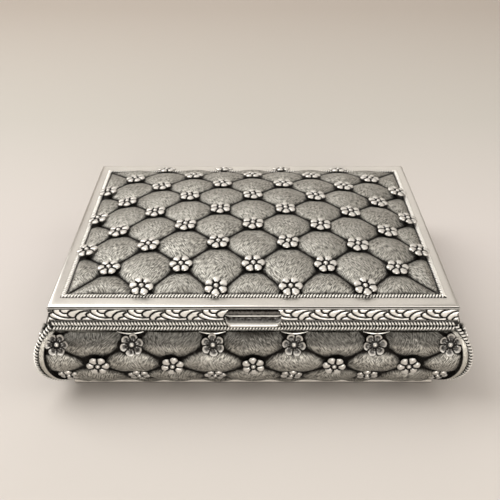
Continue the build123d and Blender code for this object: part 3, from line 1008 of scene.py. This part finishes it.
def crescent(middle, reach):
    """Crescent of a front wall round one place along it."""
    rings = []
    for share in np.linspace(-1, 1, 13):
        angle = rim_angle - (crescent_start + crescent_sag * (1 - share**2)) / arc_radius
        radius = arc_radius + crescent_stand - crescent_fall * share**2
        out = arc_out + radius * cos(angle)
        centre = np.array((middle + crescent_half * share, -(reach + out), arc_z + radius * sin(angle)))
        thin = crescent_thickness * (1 - crescent_taper * share**2)
        rings.append(round_ring(centre, np.array((0, -thin, 0)), np.array((0, 0, thin)), 6))
    return loft(rings)


def wall_crescents(name, cells, run, reach, turn):
    """Crescents of a wall, one over each rosette of its top row that stands clear of the corners."""
    step = flat_half_length(run) / cells
    shapes = [crescent(wall_x(knot, 1, cells, step), reach) for knot in range(2, 2 * cells, 2)]
    return turned_into_place(mesh_object(name, *joined(shapes)), turn)


# Ropes

strand_pitch = 1.5 * mm
strand_half_width = 0.52 * mm
strand_half_thickness = 0.42 * mm
strand_sink = 0.4 * mm
strand_tip = 0.15
strand_shade = 1.6
strand_bright = 0.35
lid_rope_width = 2.0 * mm
rim_rope_width = 2.1 * mm
rope_core_width = 0.96
rope_core_sink = 1.0 * mm
rope_end_gap = 1.7 * mm
notch_rope_gap = 0.6 * mm
panel_core_sink = 0.45 * mm
panel_strand_sink = 0.2 * mm
panel_rope_end_gap = 0.2 * mm


def strand_object(name, width, height, lean, arc=80):
    """One strand laid over a half round rope, leaning along it."""
    rings = []
    for share in np.linspace(-1, 1, 9):
        angle = radians(arc) * share
        centre = np.array((lean * share, width / 2 * sin(angle), (height - strand_sink) * cos(angle)))
        thin = (1 - abs(share) ** 4) ** 0.5 * (1 - strand_tip) + strand_tip
        across = np.array((strand_half_width * thin, 0, 0))
        raised = strand_half_thickness * thin * np.array((0, sin(angle), cos(angle)))
        rings.append(round_ring(centre, across, raised, 6))
    points, faces = loft(rings)
    made = mesh_object(name, points, faces, smooth_angle=80)
    # painted shade on the strand's flanks, none on its crown
    dark = [abs(point[1]) / width * strand_shade - strand_bright for point in points]
    set_attribute(made, "shade_and_tarnish", dark)
    made.hide_render = True
    return made


def rectangle(half_length, half_width):
    """Corners of a rectangle with their mitred outward directions."""
    return [
        (-half_length, -half_width, -1, -1),
        (half_length, -half_width, 1, -1),
        (half_length, half_width, 1, 1),
        (-half_length, half_width, -1, 1),
    ]


def strip(path, profile, closed):
    """Points and faces of a profile of (out, z) pairs carried along a path."""
    rings = [[(x + nx * out, y + ny * out, z) for out, z in profile] for x, y, nx, ny in path]
    return loft(rings, round_trip=closed)


def rows_round_lid():
    """Outline of the box in two open paths that leave out the hinges."""
    low_x = hinge_x - hinge_half_notch
    high_x = hinge_x + hinge_half_notch
    corners = rectangle(lid_half_length, lid_half_width)
    left_back = (-high_x, lid_half_width, 0, 1)
    right_back = (high_x, lid_half_width, 0, 1)
    return [
        [left_back, corners[3], corners[0], corners[1], corners[2], right_back],
        [(low_x, lid_half_width, 0, 1), (-low_x, lid_half_width, 0, 1)],
    ]


def rope_runs(half_length, half_width, z, stop, upright, broken):
    """Straight runs of strands round a rectangle, as pairs of points with an out direction."""
    sides = [
        ((-half_length + stop, -half_width), (half_length - stop, -half_width), (0, -1, 0)),
        ((half_length, -half_width + stop), (half_length, half_width - stop), (1, 0, 0)),
        ((-half_length, half_width - stop), (-half_length, -half_width + stop), (-1, 0, 0)),
    ]
    back = [(half_length - stop, -half_length + stop)]
    if broken:
        low_x = hinge_x - hinge_half_notch - notch_rope_gap
        high_x = hinge_x + hinge_half_notch + notch_rope_gap
        back = [(half_length - stop, high_x), (low_x, -low_x), (-high_x, -half_length + stop)]
    for start_x, end_x in back:
        sides.append(((start_x, half_width), (end_x, half_width), (0, 1, 0)))
    points = []
    edges = []
    outs = []
    for start, end, out in sides:
        edges.append((len(points), len(points) + 1))
        points += [(*start, z), (*end, z)]
        outs += [out if upright else (0, 0, 1)] * 2
    return points, edges, outs


def rope_strands(name, runs, strand, step=strand_pitch):
    """Strands laid along the runs of a rope."""
    points, edges, outs = runs
    bare = scaffold(name + "_runs", points, edges, [("out", "FLOAT_VECTOR", outs)])
    return run_tree(bare, edge_tree, name, copied=strand, step=step, finish=rope_silver)


right_strand = strand_object("right_strand", rim_rope_width, rope_height, lean=0.75 * mm)
left_strand = strand_object("left_strand", lid_rope_width, rope_height - 0.3 * mm, lean=-0.7 * mm)
flat_strand = strand_object("flat_strand", rope_width, panel_rope_height + 0.25 * mm, lean=0.75 * mm)
corner_strand = strand_object(
    "corner_strand", 2 * corner_rope_radius, corner_rope_radius, lean=0.7 * mm, arc=120
)


core_sides = 6


def half_round(centre_z, width, height):
    """Section of a rope core lying against a wall, as (out, z) pairs."""
    return [
        (height * cos(angle), centre_z + width / 2 * sin(angle))
        for angle in np.linspace(-pi / 2, pi / 2, core_sides)
    ]


def flat_round(base_z, width, height):
    """Section of a rope core lying on a plate, as (out, z) pairs from the rope's inner side."""
    return [
        (width / 2 - width / 2 * cos(angle), base_z + height * sin(angle))
        for angle in np.linspace(0, pi, core_sides)
    ]


# Leaf band: outlines of the leaves, in shares of a period and of the band's height from its top

leaf_lines = (
    ((0.085, 0.30), (0.035, 0.36), (0.004, 0.47), (0.026, 0.65), (0.11, 0.80), (0.26, 0.95), (0.45, 1.02)),
    ((0.15, -0.02), (0.125, 0.14), (0.14, 0.31), (0.20, 0.48), (0.33, 0.68), (0.50, 0.77), (0.65, 0.75)),
    ((0.315, -0.02), (0.33, 0.22), (0.39, 0.37), (0.49, 0.39)),
    ((0.75, 0.04), (0.62, 0.12), (0.55, 0.22), (0.505, 0.39), (0.52, 0.58), (0.61, 0.75)),
    ((1.07, 0.16), (0.96, 0.18), (0.85, 0.26), (0.75, 0.48), (0.70, 0.72), (0.73, 0.95)),
    ((0.86, 1.02), (0.87, 0.84), (0.91, 0.72), (0.98, 0.68)),
)
leaf_period = 17.6 * mm
leaf_step = 0.25 * mm
leaf_relief = 0.42 * mm
leaf_floor = 0.18 * mm
leaf_reach = 1.1 * mm
leaf_stand_out = 0.05 * mm
chased_line = 0.52 * mm


def leaf_motif():
    """One period of the leaf band: swelling leaves with chased outlines, x along the band and y up."""
    height = band_high_z - band_low_z
    x, y = np.meshgrid(
        np.linspace(-leaf_period / 2, leaf_period / 2, int(leaf_period / leaf_step)),
        np.linspace(-height / 2, height / 2, int(height / leaf_step)),
    )
    nearest = height / 2 - np.abs(y)
    for line in leaf_lines:
        for shift in (-1, 0, 1):
            path = [((px + shift - 0.5) * leaf_period, (0.5 - py) * height) for px, py in line]
            nearest = np.minimum(nearest, distance_to_path(x, y, path))
    z = leaf_floor + leaf_relief * seam_rise(nearest - chased_line / 2, leaf_reach)
    rows, columns = x.shape
    top = np.stack([x, y, z], axis=-1).reshape(-1, 3)
    edge = grid_edge(rows, columns)
    foot = top[edge] * (1, 1, 0)
    faces = grid_faces(rows, columns) + [(len(top) + np.arange(len(edge)))[::-1].tolist()]
    for place in range(len(edge)):
        ahead = (place + 1) % len(edge)
        faces.append([int(edge[ahead]), int(edge[place]), len(top) + place, len(top) + ahead])
    made = mesh_object("leaf_motif", np.concatenate([top, foot]), faces, smooth_angle=60)
    dark = 1 - smooth_share(nearest, chased_line * 0.6, chased_line * 1.4)
    set_attribute(made, "shade_and_tarnish", np.append(dark.ravel(), np.ones(len(edge))))
    made.hide_render = True
    return made


def band_leaves():
    """Leaves round the four sides of the band, a whole number on each side."""
    motif = leaf_motif()
    middle_z = (band_low_z + band_high_z) / 2
    points = []
    edges = []
    outs = []
    for half, other, turn in (
        (lid_half_length, lid_half_width, 0),
        (lid_half_width, lid_half_length, 90),
        (lid_half_length, lid_half_width, 180),
        (lid_half_width, lid_half_length, 270),
    ):
        turned = Matrix.Rotation(radians(turn), 4, "Z")
        edges.append((len(points), len(points) + 1))
        end = half - leaf_period / 2
        for x in (-end, end):
            points.append(turned @ Vector((x, -other - leaf_stand_out, middle_z)))
            outs.append(tuple(turned @ Vector((0, -1, 0))))
    bare = scaffold("leaf_runs", points, edges, [("out", "FLOAT_VECTOR", outs)])
    settings = {"copied": motif, "step": leaf_period, "unevenness": 0.0}
    return run_tree(bare, edge_tree, "lid_band_leaves", finish=leaf_silver, **settings)


# Border of the lid: its section as (out, z, darkness), and the height of the hinge notches

border_inside = -17 * mm
plate_low_z = lid_top_z - 1.5 * mm
skirt_thickness = 1.6 * mm
notch_top_z = 43.45 * mm
border_section = (
    (0, notch_top_z, 0),
    (0, band_high_z - 0.1 * mm, 0.3),
    (0.1 * mm, band_high_z, 1),
    (0.55 * mm, band_high_z + 0.1 * mm, 0.2),
    (0.65 * mm, band_high_z + 0.3 * mm, 0),
    (0.5 * mm, band_high_z + 0.5 * mm, 0.2),
    (-0.1 * mm, band_high_z + 0.55 * mm, 1),
    (-0.1 * mm, band_high_z + 0.75 * mm, 1),
    (0.1 * mm, band_high_z + 0.95 * mm, 0),
    (-0.2 * mm, lid_top_z - 0.42 * mm, 0),
    (-0.9 * mm, lid_top_z - 0.2 * mm, 0),
    (-2.2 * mm, lid_top_z - 0.07 * mm, 0),
    (-4.5 * mm, lid_top_z, 0),
    (border_inside, lid_top_z, 0),
    (border_inside, plate_low_z, 0),
    (-skirt_thickness, plate_low_z, 0),
    (-skirt_thickness, notch_top_z, 0),
)


def lid_border():
    """Rounded border of the lid with its skirt, notched for the hinges."""
    skirt_low_z = parting_z + parting_gap / 2
    skirt = [
        (0, skirt_low_z),
        (0, notch_top_z),
        (-skirt_thickness, notch_top_z),
        (-skirt_thickness, skirt_low_z),
    ]
    rounded = [(out, z) for out, z, dark in border_section]
    outline = rectangle(lid_half_length, lid_half_width)
    shapes = [strip(outline, rounded, True)] + [strip(path, skirt, False) for path in rows_round_lid()]
    made = mesh_object("lid_border", *joined(shapes), smooth_angle=35)
    border_dark = [dark for out, z, dark in border_section] * len(outline)
    skirt_dark = [0] * (len(made.data.vertices) - len(border_dark))
    set_attribute(made, "shade_and_tarnish", border_dark + skirt_dark)
    return made


# Thumb piece: its section as (out, height, darkness), in millimetres; the darkness is painted shade on the
# plate behind its top edge, on its scooped face and under its lip

thumb_section = (
    (0.0, 50.1, 1.0),
    (0.45, 50.0, 1.0),
    (0.5, 48.5, 0.7),
    (0.55, 47.2, 0.85),
    (0.9, 47.0, 0.0),
    (1.0, 46.8, 0.0),
    (0.85, 46.5, 0.85),
    (1.0, 45.5, 0.9),
    (1.5, 44.9, 0.8),
    (2.2, 44.5, 0.7),
    (3.0, 44.3, 0.4),
    (3.6, 44.35, 0.0),
    (4.2, 43.9, 0.0),
    (4.35, 43.2, 0.0),
    (3.9, 42.5, 0.1),
    (2.3, 42.4, 0.9),
    (2.0, 43.4, 1.0),
    (0.0, 43.6, 1.0),
)
thumb_round = 2.6 * mm
thumb_edge_z = 46.9
thumb_gap = 0.3
thumb_tip = 0.12


def thumb_piece():
    """Scooped thumb piece with a bright top edge and a thick lip, rounded at both ends."""
    half_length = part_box("thumb_piece")[1].x
    rings = []
    for share in np.linspace(-1, 1, 41):
        x = half_length * sin(share * pi / 2)
        beyond = max(0.0, abs(x) - half_length + thumb_round) / thumb_round
        size = thumb_tip + (1 - thumb_tip) * (1 - min(beyond, 1) ** 2) ** 0.5
        ring = []
        for out, z, dark in thumb_section:
            height = thumb_edge_z + (z - thumb_edge_z) * size
            ring.append((x, -lid_half_width - (thumb_gap + out * size) * mm, height * mm))
        rings.append(ring)
    points, faces = loft(rings)
    made = mesh_object("thumb_scoop", points, faces)
    # painted shade from the darkness column of the section
    set_attribute(made, "shade_and_tarnish", [dark for out, z, dark in thumb_section] * len(rings))
    return made


# Base: the section of its edge as (out, z, darkness); the darkness is a painted contact shadow along its
# foot and painted shade under the walls at its top

base_trim_out = 3.0 * mm
base_section = (
    (-1.0 * mm, 0.15 * mm, 1),
    (base_trim_out - 0.3 * mm, 0.15 * mm, 1),
    (base_trim_out, 0.5 * mm, 0.6),
    (base_trim_out, 1.3 * mm, 0),
    (base_trim_out - 0.4 * mm, 1.7 * mm, 0),
    (-1.0 * mm, 1.7 * mm, 0.5),
)


def base_trim():
    """Edge of the base plate that shows as a thin line under the walls."""
    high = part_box("base_plate")[1]
    outline = rectangle(high.x, high.y)
    made = mesh_object("base_trim", *strip(outline, [(out, z) for out, z, dark in base_section], True))
    # painted contact shadow along the foot of the edge
    set_attribute(made, "shade_and_tarnish", [dark for out, z, dark in base_section] * len(outline))
    return made


# Pieces

def dress(made, body, slot_name, *nodes, material=None):
    """Puts a finished piece on its body, with its material when one is given, in place of CAD nodes;
    slot_name is not used.
    """
    if material is not None:
        made.data.materials.clear()
        made.data.materials.append(material)
    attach(made, body)
    if nodes:
        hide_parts(*nodes)


dress(lid_quilt(), "lid", "hatched_silver", "lid_quilt_panel", material=quilt_silver)

walls = {
    "front": (lid_cells[0], lid_half_length, lid_half_width, 0),
    "right": (lid_cells[1], lid_half_width, lid_half_length, 90),
    "back": (lid_cells[0], lid_half_length, lid_half_width, 180),
    "left": (lid_cells[1], lid_half_width, lid_half_length, 270),
}
for side_name, sizes in walls.items():
    quilt = wall_quilt(f"{side_name}_quilt", *sizes)
    dress(quilt, "box", "hatched_silver", f"{side_name}_quilt_panel", material=quilt_silver)
    flowers = rosette_points(f"{side_name}_flowers", wall_rosette_places((2, 3), *sizes), wall_flower)
    dress(flowers, "box", "rosette_silver", f"{side_name}_rosettes")
    cups = rosette_points(f"{side_name}_cups", wall_rosette_places((1,), *sizes), cup_flower)
    dress(cups, "box", "rosette_silver")
    crescents = wall_crescents(f"{side_name}_crescents", *sizes)
    dress(crescents, "box", "rosette_silver", material=rope_silver)

inner_flowers = rosette_points("lid_flowers", lid_rosette_places(edge=False), lid_flower)
dress(inner_flowers, "lid", "rosette_silver", "lid_rosettes")
border_flowers = rosette_points("lid_border_flowers", lid_rosette_places(edge=True), edge_flower)
dress(border_flowers, "lid", "rosette_silver")

panel_shift = Matrix.Translation((0, -front_row_extra / 2, 0))
lid_rope_z = parting_z + parting_gap / 2 + lid_rope_width / 2 + 0.2 * mm
rim_rope_z = parting_z - parting_gap / 2 - rim_rope_width / 2
for name, centre_z, width, strand, body, node in (
    ("lid_edge", lid_rope_z, lid_rope_width, left_strand, "lid", "lid_edge_rope"),
    ("rim", rim_rope_z, rim_rope_width, right_strand, "box", "body_rim_rope"),
):
    profile = half_round(centre_z, width * rope_core_width, rope_height - rope_core_sink)
    core = mesh_object(
        f"{name}_rope_core", *joined([strip(path, profile, False) for path in rows_round_lid()])
    )
    dress(core, body, "rope_silver", material=gap_shade_and_tarnish)
    runs = rope_runs(lid_half_length, lid_half_width, centre_z, rope_end_gap, upright=True, broken=True)
    dress(rope_strands(f"{name}_rope_strands", runs, strand), body, "rope_silver", node)

panel_core = mesh_object(
    "panel_rope_core",
    *strip(
        rectangle(panel_half_length, panel_half_width + front_row_extra / 2),
        flat_round(lid_top_z, rope_width, panel_rope_height - panel_core_sink),
        True,
    ),
)
panel_core.data.transform(panel_shift)
dress(panel_core, "lid", "rope_silver", material=gap_shade_and_tarnish)
panel_runs = rope_runs(
    panel_half_length + rope_width / 2,
    panel_half_width + front_row_extra / 2 + rope_width / 2,
    lid_top_z - panel_strand_sink,
    panel_rope_end_gap,
    upright=False,
    broken=False,
)
panel_strands = rope_strands("panel_rope_strands", panel_runs, flat_strand)
panel_strands.data.transform(panel_shift)
dress(panel_strands, "lid", "rope_silver", "lid_panel_rope")


corner_rope_start = -0.05
corner_rope_end = 0.93
corner_rope_steps = 14
corner_strand_pitch = 1.6 * mm
corner_core_radius = corner_rope_radius * 0.7


def corner_path(x_side, y_side):
    """Points and outward directions down the slot between two walls."""
    points = []
    outs = []
    for share in np.linspace(corner_rope_start, corner_rope_end, corner_rope_steps):
        angle = rim_angle + share * (foot_angle - rim_angle)
        out = arc_out + (arc_radius + float(corner_raise(share * arc_length))) * cos(angle)
        z = arc_z + arc_radius * sin(angle)
        points.append((x_side * (lid_half_length + out), y_side * (lid_half_width + out), z))
        outs.append((x_side * cos(angle), y_side * cos(angle), sin(angle)))
    return points, outs


def corner_rope(x_side, y_side, name, node):
    """Rope in the slot between two walls."""
    points, outs = corner_path(x_side, y_side)
    edges = [(step, step + 1) for step in range(corner_rope_steps - 1)]
    strands = rope_strands(name, (points, edges, outs), corner_strand, corner_strand_pitch)
    dress(strands, "box", "rope_silver", node)
    sideways = corner_core_radius * np.array((-y_side * x_side, 1, 0)) / 2**0.5
    rings = []
    for place, out in zip(points, outs):
        outward = corner_core_radius * np.array(out) / np.linalg.norm(out)
        rings.append(round_ring(np.array(place), outward, sideways, 8))
    dress(mesh_object(name + "_core", *loft(rings)), "box", "rope_silver", material=gap_shade_and_tarnish)


for front_back, y_side in (("front", -1), ("back", 1)):
    for left_right, x_side in (("left", -1), ("right", 1)):
        corner = f"{front_back}_{left_right}"
        corner_rope(x_side, y_side, f"{corner}_strands", f"{corner}_corner_rope")

dress(band_leaves(), "lid", "engraved_silver", "lid_leaf_band")
dress(lid_border(), "lid", "plain_silver", "lid_frame", material=plain_silver)
dress(base_trim(), "box", "plain_silver", material=base_silver)
dress(thumb_piece(), "lid", "plain_silver", "thumb_piece", material=plain_silver)

flower_sources = (lid_flower, edge_flower, cup_flower, wall_flower)
strand_sources = (right_strand, left_strand, flat_strand, corner_strand)
for source in flower_sources + strand_sources:
    bpy.data.objects.remove(source)
bpy.data.objects.remove(bpy.data.objects["leaf_motif"])

cad_finishes = {
    plain_silver: ("body_rim",),
    base_silver: ("base_plate",),
    lining_velvet: ("lid_lining", "body_liner"),
    leaf_silver: (
        "left_hinge_body_leaf",
        "right_hinge_body_leaf",
        "left_hinge_lid_leaf",
        "right_hinge_lid_leaf",
        "left_hinge_pin",
        "right_hinge_pin",
    ),
}
for material, nodes in cad_finishes.items():
    for node in nodes:
        cad_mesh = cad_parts[node].data
        cad_mesh.materials.clear()
        cad_mesh.materials.append(material)


# Floor, backdrop, lights and camera

# painted falloff of light: the ground's beige darkens from the front towards the back and up the backdrop
ground_tones = (
    (-0.14, (0.60, 0.565, 0.53, 1)),
    (0.06, (0.60, 0.56, 0.535, 1)),
    (0.30, (0.50, 0.475, 0.435, 1)),
    (0.73, (0.435, 0.386, 0.340, 1)),
)


def backdrop_material():
    """Warm beige ground, with painted shade that darkens it away from the box."""
    material, tree, shader = new_material("beige_ground")
    away = add_node(tree, "ShaderNodeSeparateXYZ", {0: object_place(tree)}).outputs["Y"]
    near = ground_tones[0][0]
    far = ground_tones[-1][0]
    tones = [((distance - near) / (far - near), tone) for distance, tone in ground_tones]
    colour = tone_ramp(tree, stretched(tree, away, near, far), tones)
    tree.links.new(colour, shader.inputs["Base Color"])
    shader.inputs["Roughness"].default_value = 0.9
    return material


floor_half = 6.0
floor_back = 1.0
curve_start = 1.2
curve_radius = 0.6
backdrop_height = 3.0


def stage_sheet():
    """Floor that curves up into a backdrop behind the box."""
    rows = [(-floor_half, 0), (floor_back, 0)]
    for angle in np.linspace(0, pi / 2, 12):
        rows.append((curve_start + curve_radius * sin(angle), curve_radius - curve_radius * cos(angle)))
    rows.append((curve_start + curve_radius, backdrop_height))
    points = [(x, y, z) for y, z in rows for x in (-floor_half, floor_half)]
    mesh = bpy.data.meshes.new("ground")
    mesh.from_pydata(points, [], grid_faces(len(rows), 2))
    mesh.polygons.foreach_set("use_smooth", [True] * len(mesh.polygons))
    mesh.materials.append(backdrop_material())
    ground = link_object("ground", mesh)


stage_sheet()


def area_light(name, place, target, size, power, colour):
    """Soft square light turned towards a point."""
    light = bpy.data.lights.new(name, "AREA")
    light.size = size
    light.energy = power
    light.color = colour
    lamp = link_object(name, light)
    lamp.location = place
    lamp.rotation_euler = (Vector(target) - Vector(place)).to_track_quat("-Z", "Y").to_euler()


area_light("key", (-0.8, 0.25, 1.05), (0, 0, 0.03), 1.1, 14, (1.0, 0.99, 0.97))
area_light("back_softbox", (0.1, 1.15, 0.75), (0, 0, 0.03), 1.3, 3.6, (1.0, 0.98, 0.95))
area_light("low_fill", (0.3, -2.2, 0.42), (0, 0, 0.02), 1.2, 32, (1.0, 0.965, 0.92))
area_light("right_fill", (1.0, -0.2, 0.8), (0, 0, 0.02), 1.0, 3.5, (1.0, 0.97, 0.93))

room_tones = ((0.0, (0.20, 0.17, 0.145, 1)), (0.5, (0.22, 0.195, 0.17, 1)), (1.0, (1.0, 0.95, 0.89, 1)))


def room_light():
    """Dim walls and a bright ceiling round the box."""
    world = bpy.data.worlds.new("room")
    bpy.context.scene.world = world
    world.use_nodes = True
    tree = world.node_tree
    direction = add_node(tree, "ShaderNodeTexCoord").outputs["Generated"]
    up = add_node(tree, "ShaderNodeSeparateXYZ", {0: direction}).outputs["Z"]
    tree.links.new(tone_ramp(tree, up, room_tones), tree.nodes["Background"].inputs["Color"])


room_light()

camera_data = bpy.data.cameras.new("camera")
camera_data.lens = 54.51
camera_data.sensor_width = 36
camera = link_object("camera", camera_data)
camera.location = (-0.0016, -0.372, 0.2565)
camera.rotation_euler = (radians(59.26), 0, 0)
bpy.context.scene.camera = camera
bpy.context.scene.view_settings.view_transform = "Standard"
